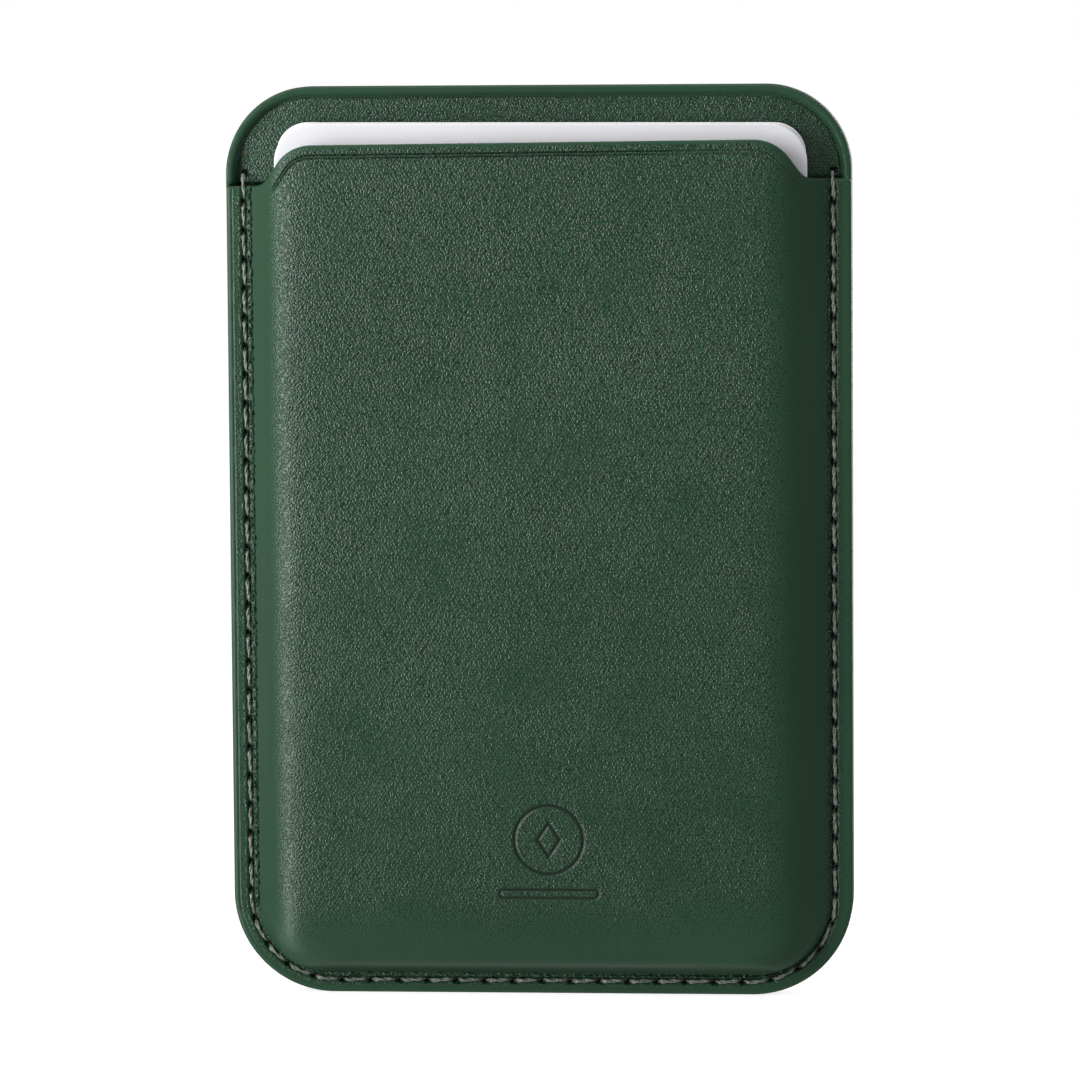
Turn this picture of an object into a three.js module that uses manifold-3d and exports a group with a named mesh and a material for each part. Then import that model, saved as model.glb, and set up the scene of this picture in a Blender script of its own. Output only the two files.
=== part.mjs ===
// A card holder that clings to the back of a phone: a moulded, stitched pocket for two cards,
// with a ring of magnets, a steel shield and a thumb slot behind it.
//
// Frame, millimetres: +Z up (the pocket's mouth), +X right, the front faces -Y. The back face lies
// at y = 0 and the origin is the centre of the magnet ring on that face.
//
// Everything is drawn flat, as seen from the front, in a "bench" group: x to the right, y up the
// holder and z as the height above the back face. The bench is then stood up, front towards -Y.

import * as THREE from 'three';
import { mergeVertices } from 'three/addons/utils/BufferGeometryUtils.js';
import Module from 'manifold-3d';

const wasm = await Module();
wasm.setup();

// ---- driving dimensions -------------------------------------------------------------------------

// Outline
const WIDTH = 63.5;
const HEIGHT = 92.7;
const TOP = 31.5;
const BOTTOM = TOP - HEIGHT;
const TOP_CORNER = 8.7;
const BOTTOM_CORNER = 10.3;

// Layers, from the back face to the front
const GLUE = 0.05;
const BACK_COVER = 0.8;
const TRAY = 0.8;
const SHIELD = 0.2;
const INNER_PANEL = 0.7;
const LEATHER = 0.75;
const LINING = 0.2;

// Shell of the moulded front: a flange, then a wall that rises to the plateau over the cards
const RISE = 2.8;
const FOOT_INSET = 2.6;
const FOOT_RADIUS = 0.6;
const SHOULDER_RADIUS = 2.8;
const WALL_ANGLE = THREE.MathUtils.degToRad(64);
const FOOT_CORNER = 6.6;
const PLATEAU_CORNER = 3.8;
const CORNER_TIGHTENING = 2.2;
const BOTTOM_WALL_START = 0.5;
const BOTTOM_WALL_RATIO = 0.62;

// Mouth of the pocket
const MOUTH_DROP = 5.85;
const NOTCH_DROP = 10.0;
const NOTCH_INSET = 3.6;
const MOUTH_FILLET = 0.9;
const MOUTH_CORNER = 3.6;
const MOUTH_SLOPE = THREE.MathUtils.degToRad(57);
const MOUTH_TILT = THREE.MathUtils.degToRad(0.72);

// Rolled bead round the inner panel, above the notches
const BEAD_WIDTH = 1.1;
const BEAD_HEIGHT = 0.25;
const BEAD_END_GAP = 0.3;

// Seam
const THREAD = 0.4;
const SEAM_SIDE = 1.7;
const SEAM_BOTTOM = 1.36;
const SEAM_CORNER = 8.7;
const CHANNEL_WIDTH = 0.8;
const CHANNEL_DEPTH = 0.35;
const BACK_CHANNEL_DEPTH = 0.5;
const SEAM_STEPS = 80;

// Magnets and their tray
const TRAY_INSET = 3.2;
const TRAY_GAP = 0.1;
const RING_OUTER = 27;
const RING_INNER = 23;
const RING_SEGMENTS = 16;
const MAGNET = 0.5;
const MAGNET_GAP = 0.15;
const TRAY_FLOOR = 0.25;
const ALIGNMENT_WIDTH = 5;
const ALIGNMENT_HEIGHT = 12;
const ALIGNMENT_Y = -36.5;
const SHIELD_INSET = 3.6;

// Thumb slot, through everything behind the cards
const SLOT_WIDTH = 20;
const SLOT_HEIGHT = 10.5;
const SLOT_Y = -50;
const SHIELD_SLOT_MARGIN = 1;

// Cards, the common bank card size
const CARD_WIDTH = 53.98;
const CARD_HEIGHT = 85.6;
const CARD_THICKNESS = 0.76;
const CARD_CORNER = 3.18;
const CARD_TOP_DROP = 3.83;
const REAR_CARD_RAISE = 0.1;
const REAR_CARD_GAP = BEAD_HEIGHT + 0.05;
const CARD_GAP = 0.05;

// Fineness
const ARC_STEPS = 6;
const PROFILE_STEPS = 4;
const SLOT_ARC_STEPS = 10;
const MAGNET_ARC_STEPS = 4;
const RING_STEPS = RING_SEGMENTS * MAGNET_ARC_STEPS;
const OVERSHOOT = 5;

// ---- heights above the back face ----------------------------------------------------------------

const TRAY_Z = BACK_COVER + GLUE;
const MAGNET_Z = TRAY_Z + TRAY_FLOOR + GLUE;
const SHIELD_Z = TRAY_Z + TRAY + GLUE;
const INNER_PANEL_Z = SHIELD_Z + SHIELD + GLUE;
const POCKET_Z = INNER_PANEL_Z + INNER_PANEL;
const FLANGE_Z = POCKET_Z + GLUE;
const FLANGE_TOP = FLANGE_Z + LEATHER;
const PLATEAU_Z = FLANGE_TOP + RISE;
const LINING_Z = PLATEAU_Z - LEATHER - GLUE - LINING;
const REAR_CARD_Z = POCKET_Z + REAR_CARD_GAP;
const FRONT_CARD_Z = REAR_CARD_Z + CARD_THICKNESS + CARD_GAP;
const NOTCH_Y = TOP - NOTCH_DROP;
const MOUTH_Y = TOP - MOUTH_DROP;

// ---- outlines -----------------------------------------------------------------------------------

/** Points of an arc about (x, y), both ends included. */
function arc(x, y, radius, from, to, steps = ARC_STEPS) {
  return Array.from({ length: steps + 1 }, (_, step) => {
    const angle = from + (to - from) * (step / steps);
    return new THREE.Vector2(x + radius * Math.cos(angle), y + radius * Math.sin(angle));
  });
}

/** A rectangle with its own corner radius at the top and at the bottom, anticlockwise. */
function roundedRectangle(left, right, bottom, top, topRadius, bottomRadius) {
  return [
    ...arc(left + topRadius, top - topRadius, topRadius, Math.PI / 2, Math.PI),
    ...arc(left + bottomRadius, bottom + bottomRadius, bottomRadius, Math.PI, Math.PI * 1.5),
    ...arc(right - bottomRadius, bottom + bottomRadius, bottomRadius, -Math.PI / 2, 0),
    ...arc(right - topRadius, top - topRadius, topRadius, 0, Math.PI / 2),
  ];
}

/** The holder's outline, moved inwards. */
function outline(inset = 0) {
  const half = WIDTH / 2 - inset;
  return roundedRectangle(-half, half, BOTTOM + inset, TOP - inset, TOP_CORNER - inset, BOTTOM_CORNER - inset);
}

/** A level slot with round ends. */
function slot(width, height, y) {
  const radius = height / 2;
  const reach = width / 2 - radius;
  return [
    ...arc(-reach, y, radius, Math.PI / 2, Math.PI * 1.5, SLOT_ARC_STEPS),
    ...arc(reach, y, radius, -Math.PI / 2, Math.PI / 2, SLOT_ARC_STEPS),
  ];
}

function circle(radius, steps) {
  return arc(0, 0, radius, 0, Math.PI * 2, steps).slice(0, steps);
}

/** One arc magnet of the ring, between two angles. */
function magnetSector(from, to) {
  return [
    ...arc(0, 0, RING_OUTER, from, to, MAGNET_ARC_STEPS),
    ...arc(0, 0, RING_INNER, to, from, MAGNET_ARC_STEPS),
  ];
}

/** The pocket's cross-section at an inset from the sides; its top runs out past the mouth. */
function pocketRing(inset) {
  const half = WIDTH / 2 - inset;
  const bottom = BOTTOM + BOTTOM_WALL_START + BOTTOM_WALL_RATIO * inset;
  const radius = Math.max(PLATEAU_CORNER, FOOT_CORNER - CORNER_TIGHTENING * (inset - FOOT_INSET));
  return [
    new THREE.Vector2(-half, TOP),
    ...arc(-half + radius, bottom + radius, radius, Math.PI, Math.PI * 1.5),
    ...arc(half - radius, bottom + radius, radius, -Math.PI / 2, 0),
    new THREE.Vector2(half, TOP),
  ];
}

/** Half of the mouth's edge: along the notch, up an S and in to the middle, mirrored by `side`. */
function mouthHalf(side) {
  const turn = MOUTH_SLOPE;
  const climb = (MOUTH_FILLET + MOUTH_CORNER) * (1 - Math.cos(turn));
  const straight = (MOUTH_Y - NOTCH_Y - climb) / Math.sin(turn);
  const footX = -WIDTH / 2 + NOTCH_INSET;
  const run = (MOUTH_FILLET + MOUTH_CORNER) * Math.sin(turn) + straight * Math.cos(turn);
  const points = [
    new THREE.Vector2(-WIDTH / 2 - OVERSHOOT, NOTCH_Y),
    ...arc(footX, NOTCH_Y + MOUTH_FILLET, MOUTH_FILLET, -Math.PI / 2, -Math.PI / 2 + turn),
    ...arc(footX + run, MOUTH_Y - MOUTH_CORNER, MOUTH_CORNER, Math.PI / 2 + turn, Math.PI / 2),
  ];
  return points.map((point) => new THREE.Vector2(side * point.x, point.y));
}

/** Everything above the mouth's edge, which leans a little, higher on the right. */
function aboveMouth() {
  const reach = WIDTH / 2 + OVERSHOOT;
  const points = [
    ...mouthHalf(1),
    ...mouthHalf(-1).reverse(),
    new THREE.Vector2(reach, TOP + OVERSHOOT),
    new THREE.Vector2(-reach, TOP + OVERSHOOT),
  ];
  const pivot = new THREE.Vector2(0, NOTCH_Y);
  return points.map((point) => point.clone().rotateAround(pivot, MOUTH_TILT));
}

// ---- shapes in the round ------------------------------------------------------------------------

/** A plate of the given thickness, its back face at z. */
function plate(points, thickness, z = 0, holes = []) {
  const shape = new THREE.Shape(points);
  shape.holes = holes.map((hole) => new THREE.Path(hole));
  const geometry = new THREE.ExtrudeGeometry(shape, { depth: thickness, bevelEnabled: false });
  return geometry.translate(0, 0, z);
}

/**
 * Inset and height of the moulded front, measured on its outer face or on a face `offset` behind
 * it: a concave foot, a straight wall and a round shoulder.
 */
function shellProfile(offset) {
  const footRadius = FOOT_RADIUS + offset;
  const shoulderRadius = SHOULDER_RADIUS - offset;
  const wallRise = RISE - (FOOT_RADIUS + SHOULDER_RADIUS) * (1 - Math.cos(WALL_ANGLE));
  const wallRun = wallRise / Math.tan(WALL_ANGLE);
  const arcRun = (FOOT_RADIUS + SHOULDER_RADIUS) * Math.sin(WALL_ANGLE);
  const footCentre = new THREE.Vector2(FOOT_INSET, FLANGE_TOP + FOOT_RADIUS);
  const shoulderCentre = new THREE.Vector2(FOOT_INSET + arcRun + wallRun, PLATEAU_Z - SHOULDER_RADIUS);
  const down = -Math.PI / 2;
  const up = Math.PI / 2;
  return [
    ...arc(footCentre.x, footCentre.y, footRadius, down, down + WALL_ANGLE, PROFILE_STEPS),
    ...arc(shoulderCentre.x, shoulderCentre.y, shoulderRadius, up + WALL_ANGLE, up, PROFILE_STEPS),
  ];
}

/** A closed skin over rings of equal point counts, each ring { points, z } above the one before. */
function loft(rings) {
  const count = rings[0].points.length;
  const positions = rings.flatMap(({ points, z }) => points.flatMap((point) => [point.x, point.y, z]));
  const lid = THREE.ShapeUtils.triangulateShape(rings[0].points, []);
  const last = (rings.length - 1) * count;
  const indices = lid.flatMap(([a, b, c]) => [c, b, a]);
  indices.push(...lid.flatMap(([a, b, c]) => [last + a, last + b, last + c]));
  for (let ring = 0; ring < rings.length - 1; ring += 1) {
    for (let step = 0; step < count; step += 1) {
      const a = ring * count + step;
      const b = ring * count + ((step + 1) % count);
      indices.push(a, b, b + count, a, b + count, a + count);
    }
  }
  const geometry = new THREE.BufferGeometry();
  geometry.setAttribute('position', new THREE.Float32BufferAttribute(positions, 3));
  geometry.setIndex(indices);
  return geometry;
}

/** The solid under a face `offset` behind the moulded front, down to the height `base`. */
function pocketBulk(offset, base) {
  const profile = shellProfile(offset);
  const rings = profile.map((point) => ({ points: pocketRing(point.x), z: point.y }));
  return loft([{ points: pocketRing(FOOT_INSET), z: base }, ...rings]);
}

/** The seam's U: down the left side, round the bottom and up the right side. */
class SeamCurve extends THREE.Curve {
  constructor(z) {
    super();
    this.z = z;
    this.side = WIDTH / 2 - SEAM_SIDE;
    this.low = BOTTOM + SEAM_BOTTOM;
    this.start = NOTCH_Y - 1;
    this.drop = this.start - this.low - SEAM_CORNER;
    this.turn = (SEAM_CORNER * Math.PI) / 2;
    this.across = this.side - SEAM_CORNER;
  }

  getPoint(t, target = new THREE.Vector3()) {
    const half = this.drop + this.turn + this.across;
    const side = t < 0.5 ? -1 : 1;
    const along = t < 0.5 ? t * 2 * half : (1 - t) * 2 * half;
    if (along < this.drop) return target.set(side * this.side, this.start - along, this.z);
    if (along > this.drop + this.turn) {
      return target.set(side * (half - along), this.low, this.z);
    }
    const angle = (along - this.drop) / SEAM_CORNER;
    const x = this.across + SEAM_CORNER * Math.cos(angle);
    return target.set(side * x, this.low + SEAM_CORNER * (1 - Math.sin(angle)), this.z);
  }
}

/** A bar of the given section run along the seam at height z. */
function seamBar(section, z) {
  const shape = new THREE.Shape(section);
  return new THREE.ExtrudeGeometry(shape, { steps: SEAM_STEPS, extrudePath: new SeamCurve(z) });
}

/** The channel that the thread lies in, cut to `depth` below or above the face at z. */
function seamChannel(z, depth) {
  const half = CHANNEL_WIDTH / 2;
  const corners = [[-depth, -half], [depth, -half], [depth, half], [-depth, half]];
  return seamBar(corners.map(([x, y]) => new THREE.Vector2(x, y)), z);
}

// ---- joining and cutting ------------------------------------------------------------------------

function solid(geometry) {
  const bare = geometry.clone();
  bare.deleteAttribute('normal');
  bare.deleteAttribute('uv');
  const merged = mergeVertices(bare);
  return new wasm.Manifold(new wasm.Mesh({
    numProp: 3,
    vertProperties: merged.attributes.position.array,
    triVerts: Uint32Array.from(merged.index.array),
  }));
}

function geometryOf(manifold) {
  const { vertProperties, triVerts } = manifold.getMesh();
  const geometry = new THREE.BufferGeometry();
  geometry.setAttribute('position', new THREE.BufferAttribute(vertProperties, 3));
  geometry.setIndex(new THREE.BufferAttribute(triVerts, 1));
  geometry.computeVertexNormals();
  return geometry;
}

/** What is left of a solid when shapes are cut out of it. */
function cut(body, ...shapes) {
  return shapes.reduce((left, shape) => left.subtract(solid(shape)), body);
}

// ---- sub-parts ----------------------------------------------------------------------------------

function backCover() {
  const skin = plate(outline(), BACK_COVER, 0, [slot(SLOT_WIDTH, SLOT_HEIGHT, SLOT_Y)]);
  return geometryOf(cut(solid(skin), seamChannel(0, BACK_CHANNEL_DEPTH)));
}

function borderFiller() {
  const thickness = TRAY + GLUE + SHIELD;
  return plate(outline(TRAY_GAP), thickness, TRAY_Z, [outline(TRAY_INSET - TRAY_GAP)]);
}

function magnetTray() {
  const thumbSlot = slot(SLOT_WIDTH, SLOT_HEIGHT, SLOT_Y);
  const floorTop = TRAY_Z + TRAY_FLOOR;
  const ringPocket = plate(
    circle(RING_OUTER + MAGNET_GAP, RING_STEPS), TRAY, floorTop, [circle(RING_INNER - MAGNET_GAP, RING_STEPS)],
  );
  const barPocket = plate(barOutline(MAGNET_GAP), TRAY, floorTop);
  const block = plate(outline(TRAY_INSET), TRAY, TRAY_Z, [thumbSlot]);
  return geometryOf(cut(solid(block), ringPocket, barPocket));
}

function ringMagnet(index) {
  const pitch = (Math.PI * 2) / RING_SEGMENTS;
  const gap = MAGNET_GAP / RING_INNER;
  return plate(magnetSector(index * pitch + gap, (index + 1) * pitch - gap), MAGNET, MAGNET_Z);
}

/** Outline of the bar magnet, grown by a clearance. */
function barOutline(clearance = 0) {
  const half = ALIGNMENT_WIDTH / 2 + clearance;
  const reach = ALIGNMENT_HEIGHT / 2 + clearance;
  const corners = [[-half, -reach], [half, -reach], [half, reach], [-half, reach]];
  return corners.map(([x, y]) => new THREE.Vector2(x, ALIGNMENT_Y + y));
}

function shieldPlate() {
  const margin = SHIELD_SLOT_MARGIN * 2;
  const opening = slot(SLOT_WIDTH + margin, SLOT_HEIGHT + margin, SLOT_Y);
  return plate(outline(SHIELD_INSET), SHIELD, SHIELD_Z, [opening]);
}

function innerPanel() {
  const sheet = plate(outline(), INNER_PANEL, INNER_PANEL_Z, [slot(SLOT_WIDTH, SLOT_HEIGHT, SLOT_Y)]);
  const sunk = INNER_PANEL / 2;
  const bead = plate(outline(), sunk + BEAD_HEIGHT, POCKET_Z - sunk, [outline(BEAD_WIDTH)]);
  const reach = WIDTH / 2 + OVERSHOOT;
  const beadEnd = NOTCH_Y + BEAD_END_GAP + reach * Math.tan(MOUTH_TILT);
  const below = new THREE.BoxGeometry(reach * 2, HEIGHT, INNER_PANEL * 2);
  below.translate(0, beadEnd - HEIGHT / 2, POCKET_Z);
  return geometryOf(solid(sheet).add(cut(solid(bead), below)));
}

function frontPanel() {
  const flange = plate(outline(), LEATHER, FLANGE_Z);
  const bulk = pocketBulk(0, FLANGE_Z);
  const hollow = pocketBulk(LEATHER, FLANGE_Z - GLUE);
  const mouth = plate(aboveMouth(), PLATEAU_Z, FLANGE_Z - GLUE);
  const whole = solid(flange).add(solid(bulk));
  return geometryOf(cut(whole, hollow, mouth, seamChannel(FLANGE_TOP, CHANNEL_DEPTH)));
}

/** A thin fabric sheet on the flat inside of the front panel, set back from the mouth. */
function pocketLining() {
  const edgeInset = shellProfile(LEATHER).at(-1).x + MAGNET_GAP;
  const sheet = plate(pocketRing(edgeInset), LINING, LINING_Z);
  const mouth = plate(aboveMouth(), PLATEAU_Z, LINING_Z - GLUE).translate(0, -LEATHER, 0);
  return geometryOf(cut(solid(sheet), mouth));
}

/** A round thread along the seam; its centre lies at height z. */
function seamThread(z) {
  const octagon = circle(THREAD / 2, 8);
  return seamBar(octagon, z);
}

function card() {
  const half = CARD_WIDTH / 2;
  return plate(
    roundedRectangle(-half, half, -CARD_HEIGHT, 0, CARD_CORNER, CARD_CORNER), CARD_THICKNESS,
  );
}

// ---- assembly -----------------------------------------------------------------------------------

const leather = () => new THREE.MeshStandardMaterial({ color: 0x33503f, roughness: 0.55, metalness: 0 });
const backSkin = () => new THREE.MeshStandardMaterial({ color: 0x2c4537, roughness: 0.7, metalness: 0 });
const board = () => new THREE.MeshStandardMaterial({ color: 0x4a4a42, roughness: 0.9, metalness: 0 });
const fabric = () => new THREE.MeshStandardMaterial({ color: 0x39463e, roughness: 0.95, metalness: 0 });
const plastic = () => new THREE.MeshStandardMaterial({ color: 0x202222, roughness: 0.5, metalness: 0 });
const magnet = () => new THREE.MeshStandardMaterial({ color: 0xb4b6b8, roughness: 0.3, metalness: 1 });
const steel = () => new THREE.MeshStandardMaterial({ color: 0x8e9194, roughness: 0.4, metalness: 1 });
const thread = () => new THREE.MeshStandardMaterial({ color: 0x7d8478, roughness: 0.6, metalness: 0 });
const cardPlastic = () => new THREE.MeshStandardMaterial({ color: 0xe4e4e8, roughness: 0.3, metalness: 0 });

const bench = new THREE.Group();
bench.rotation.x = Math.PI / 2;

function add(name, geometry, material, x = 0, y = 0, z = 0) {
  const mesh = new THREE.Mesh(geometry, material);
  mesh.name = name;
  mesh.position.set(x, y, z);
  bench.add(mesh);
}

add('back_cover', backCover(), backSkin());
add('border_filler', borderFiller(), board());
add('magnet_tray', magnetTray(), plastic());
for (let index = 0; index < RING_SEGMENTS; index += 1) {
  add(`ring_magnet_${String(index + 1).padStart(2, '0')}`, ringMagnet(index), magnet());
}
add('alignment_magnet', plate(barOutline(), MAGNET), magnet(), 0, 0, MAGNET_Z);
add('shield_plate', shieldPlate(), steel());
add('inner_panel', innerPanel(), leather());
add('front_panel', frontPanel(), leather());
add('pocket_lining', pocketLining(), fabric());
add('top_thread', seamThread(FLANGE_TOP), thread());
add('bobbin_thread', seamThread(BACK_CHANNEL_DEPTH / 2), thread());
add('card_front', card(), cardPlastic(), 0, TOP - CARD_TOP_DROP, FRONT_CARD_Z);
add('card_rear', card(), cardPlastic(), 0, TOP - CARD_TOP_DROP + REAR_CARD_RAISE, REAR_CARD_Z);

const cardHolder = new THREE.Group();
cardHolder.add(bench);

export default cardHolder;
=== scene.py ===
"""Looks of a moulded card holder that clings to the back of a phone, built round its CAD frame.

The leather panels, threads, board, lining and cards are fine meshes that replace their plain CAD
nodes. The magnets, tray and shield stay as the CAD has them and get materials.

Shapes are worked out in millimetres on a flat "bench": x to the right, y up the holder and h the
height above the back face. place() turns them into metres in the row's frame, where +Z is up and
the front faces -Y.
"""
import math

import bpy
import numpy as np
from mathutils import Matrix, Vector
from mathutils.geometry import delaunay_2d_cdt


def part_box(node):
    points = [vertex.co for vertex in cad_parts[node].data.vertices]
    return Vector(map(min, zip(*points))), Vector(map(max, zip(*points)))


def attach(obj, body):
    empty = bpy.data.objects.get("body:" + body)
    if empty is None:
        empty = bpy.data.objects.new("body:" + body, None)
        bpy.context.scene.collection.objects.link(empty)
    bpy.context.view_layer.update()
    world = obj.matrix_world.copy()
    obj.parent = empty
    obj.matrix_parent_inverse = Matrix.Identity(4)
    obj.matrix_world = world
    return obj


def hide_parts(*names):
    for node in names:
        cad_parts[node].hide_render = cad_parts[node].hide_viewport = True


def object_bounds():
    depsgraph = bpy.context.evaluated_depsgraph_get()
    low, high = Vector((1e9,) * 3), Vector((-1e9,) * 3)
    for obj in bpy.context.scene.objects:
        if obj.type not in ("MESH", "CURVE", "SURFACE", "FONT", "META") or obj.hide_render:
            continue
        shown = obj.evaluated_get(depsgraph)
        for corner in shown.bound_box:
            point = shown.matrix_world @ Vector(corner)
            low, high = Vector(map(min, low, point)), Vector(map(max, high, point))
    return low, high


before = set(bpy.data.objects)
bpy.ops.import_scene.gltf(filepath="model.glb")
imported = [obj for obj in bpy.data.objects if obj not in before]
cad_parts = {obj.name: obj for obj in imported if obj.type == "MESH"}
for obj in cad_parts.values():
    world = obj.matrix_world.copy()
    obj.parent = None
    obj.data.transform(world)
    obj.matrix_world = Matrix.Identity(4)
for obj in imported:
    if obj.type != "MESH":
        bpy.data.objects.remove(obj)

MM = 0.001
QUARTER = math.pi / 2
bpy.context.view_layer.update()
random = np.random.default_rng(7)


def bench_box(node):
    """Lowest and highest (x, y, h) of a CAD node, in millimetres."""
    low, high = (np.array(corner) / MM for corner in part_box(node))
    return np.array([low[0], low[2], -high[1]]), np.array([high[0], high[2], -low[1]])


# ---- sizes, from the frame and in millimetres --------------------

COVER_LOW, COVER_HIGH = bench_box("back_cover")
BOARD_LOW, BOARD_HIGH = bench_box("border_filler")
INNER_LOW, INNER_HIGH = bench_box("inner_panel")
LINING_LOW, LINING_HIGH = bench_box("pocket_lining")
THREAD_LOW, THREAD_HIGH = bench_box("top_thread")
BOBBIN_LOW, BOBBIN_HIGH = bench_box("bobbin_thread")

HALF_WIDTH = COVER_HIGH[0]
TOP = COVER_HIGH[1]
BOTTOM = COVER_LOW[1]
TOP_CORNER = 8.7
BOTTOM_CORNER = 10.3

# High enough for a round-cornered rectangle to count as open at the top
OPEN_TOP = TOP + 40

# The layers
GLUE = 0.05
LEATHER = 0.75
FLANGE = (THREAD_LOW[2] + THREAD_HIGH[2]) / 2
BOBBIN_CENTRE = (BOBBIN_LOW[2] + BOBBIN_HIGH[2]) / 2
FRONT_BACK = bench_box("front_panel")[0][2]
POCKET_BACK = FRONT_BACK - GLUE
EDGE_ROUNDING = 0.3
MOUTH_ROUNDING = 0.22

# The moulded pocket: a foot, a wall and a soft shoulder, measured inwards from the sides
FOOT_INSET = 2.45
FOOT_WIDTH = 0.5
WALL_ANGLE = math.radians(39.5)
SHOULDER_INSET = 4.7
SHOULDER_WIDTH = 1.7
CARD_INSET = HALF_WIDTH - bench_box("card_front")[1][0]
FOOT_CORNER = 7.4
PLATEAU_CORNER = 3.8
CORNER_TIGHTENING = 1.75
BOTTOM_WALL_START = 1.1
BOTTOM_WALL_RATIO = 0.38

# The mouth of the pocket, between two notches
NOTCH_Y = TOP - 9.8
MOUTH_Y = TOP - 5.7
NOTCH_INSET = 3.25
MOUTH_SHIFT = -0.32
MOUTH_FILLET = 1.9
MOUTH_CORNER = 4.4
MOUTH_SLOPE = math.radians(54)
MOUTH_TILT = math.radians(0.45)

# Fine creases below the mouth: distance from it, depth and width
CREASES = ((1.02, 0.13, 0.08), (1.34, 0.1, 0.075), (1.18, -0.05, 0.07))

# The seam: down one side, round a corner and half way along the bottom, and the same mirrored
CAD_THREAD_RADIUS = 0.2
SEAM_LEAN = 0.12
SEAM_HALF = THREAD_HIGH[0] - CAD_THREAD_RADIUS - SEAM_LEAN
SEAM_LOW = THREAD_LOW[1] + CAD_THREAD_RADIUS
SEAM_TOP = NOTCH_Y + 1.0
SEAM_CORNER = 8.7
SEAM_DROP = SEAM_TOP - SEAM_LOW - SEAM_CORNER
SEAM_TURN = SEAM_CORNER * QUARTER
SEAM_ACROSS = SEAM_HALF - SEAM_CORNER
SEAM_LENGTH = 2 * (SEAM_DROP + SEAM_TURN + SEAM_ACROSS)
STITCHES = 74
PITCH = SEAM_LENGTH / STITCHES
HOLE_HALF_LENGTH = 0.56
HOLE_HALF_WIDTH = 0.3
HOLE_DEPTH = 0.66
CHANNEL_HALF_WIDTH = 0.3
CHANNEL_DEPTH = 0.14

# Rows of gathers beside the thread: height, offset inwards, width and seed
PUCKER_ROWS = ((0.17, 0.4, 0.12, 31), (0.15, 0.7, 0.1, 41), (0.05, -0.46, 0.14, 51))

# The thumb slot
SLOT_HALF = 10.0
SLOT_RADIUS = 5.25
SLOT_Y = -50.0

# The pressed ornament
MARK_CENTRE = (1.0, -44.9)
MARK_RADIUS = 3.5
MARK_DIAMOND = (1.15, 1.7)
MARK_BAR_HALF = 4.6
MARK_BAR_RADIUS = 0.42
MARK_BAR_DROP = 5.55
MARK_DEPTH = 0.13

# The magnets that show through the back skin
PRINT_RADII = (22.7, 27.3)
PRINT_BAR_HALF = (2.9, 6.4)
PRINT_BAR_Y = -36.5
PRINT_WIDTH = 0.22


# ---- outlines and distances --------------------

def arc(cx, cy, radius, start, end, spacing):
    """Points of an arc, from its start up to but not including its end."""
    count = max(2, int(abs(end - start) * radius / spacing))
    angles = start + (end - start) * np.arange(count) / count
    return np.stack([cx + radius * np.cos(angles), cy + radius * np.sin(angles)], 1)


def line(start, end, spacing):
    """Points of a straight line, from its start up to but not including its end."""
    start = np.asarray(start, float)
    end = np.asarray(end, float)
    count = max(1, int(np.linalg.norm(end - start) / spacing))
    share = (np.arange(count) / count)[:, None]
    return start + (end - start) * share


def rounded_loop(half, bottom, top, low_radius, high_radius, spacing):
    """A closed anticlockwise rectangle with round corners."""
    low = max(low_radius, 0.05)
    high = max(high_radius, 0.05)
    return np.concatenate([
        line((half, bottom + low), (half, top - high), spacing),
        arc(half - high, top - high, high, 0, QUARTER, spacing),
        line((half - high, top), (-half + high, top), spacing),
        arc(-half + high, top - high, high, QUARTER, 2 * QUARTER, spacing),
        line((-half, top - high), (-half, bottom + low), spacing),
        arc(-half + low, bottom + low, low, 2 * QUARTER, 3 * QUARTER, spacing),
        line((-half + low, bottom), (half - low, bottom), spacing),
        arc(half - low, bottom + low, low, 3 * QUARTER, 4 * QUARTER, spacing),
    ])


def outline_loop(inset, spacing):
    """The holder's outline, moved inwards."""
    return rounded_loop(
        HALF_WIDTH - inset, BOTTOM + inset, TOP - inset, BOTTOM_CORNER - inset, TOP_CORNER - inset, spacing
    )


def rounded_inset(x, y, half, bottom, top, low_radius, high_radius):
    """How far a point lies inside a round-cornered rectangle; negative outside."""
    middle = (top + bottom) / 2
    radius = np.where(y > middle, high_radius, low_radius)
    across = np.abs(x) - half + radius
    along = np.abs(y - middle) - (top - bottom) / 2 + radius
    outside = np.hypot(np.maximum(across, 0), np.maximum(along, 0))
    return radius - outside - np.minimum(np.maximum(across, along), 0)


def outline_inset(x, y):
    """How far a point lies inside the holder's outline."""
    return rounded_inset(x, y, HALF_WIDTH, BOTTOM, TOP, BOTTOM_CORNER, TOP_CORNER)


def pocket_corner(inset):
    """Corner radius of the pocket's cross-section at an inset."""
    return np.maximum(PLATEAU_CORNER, FOOT_CORNER - CORNER_TIGHTENING * (inset - FOOT_INSET))


def pocket_bottom(inset):
    """Lower edge of the pocket's cross-section at an inset from the sides."""
    return BOTTOM + BOTTOM_WALL_START + BOTTOM_WALL_RATIO * inset


def pocket_loop(inset, spacing):
    """The moulded pocket's cross-section at an inset from the sides, as an open U."""
    half = HALF_WIDTH - inset
    bottom = pocket_bottom(inset)
    radius = min(float(pocket_corner(inset)), half)
    return np.concatenate([
        line((-half, TOP), (-half, bottom + radius), spacing),
        arc(-half + radius, bottom + radius, radius, 2 * QUARTER, 3 * QUARTER, spacing),
        line((-half + radius, bottom), (half - radius, bottom), spacing),
        arc(half - radius, bottom + radius, radius, 3 * QUARTER, 4 * QUARTER, spacing),
        line((half, bottom + radius), (half, TOP), spacing),
    ])


HALVINGS = 22


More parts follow.
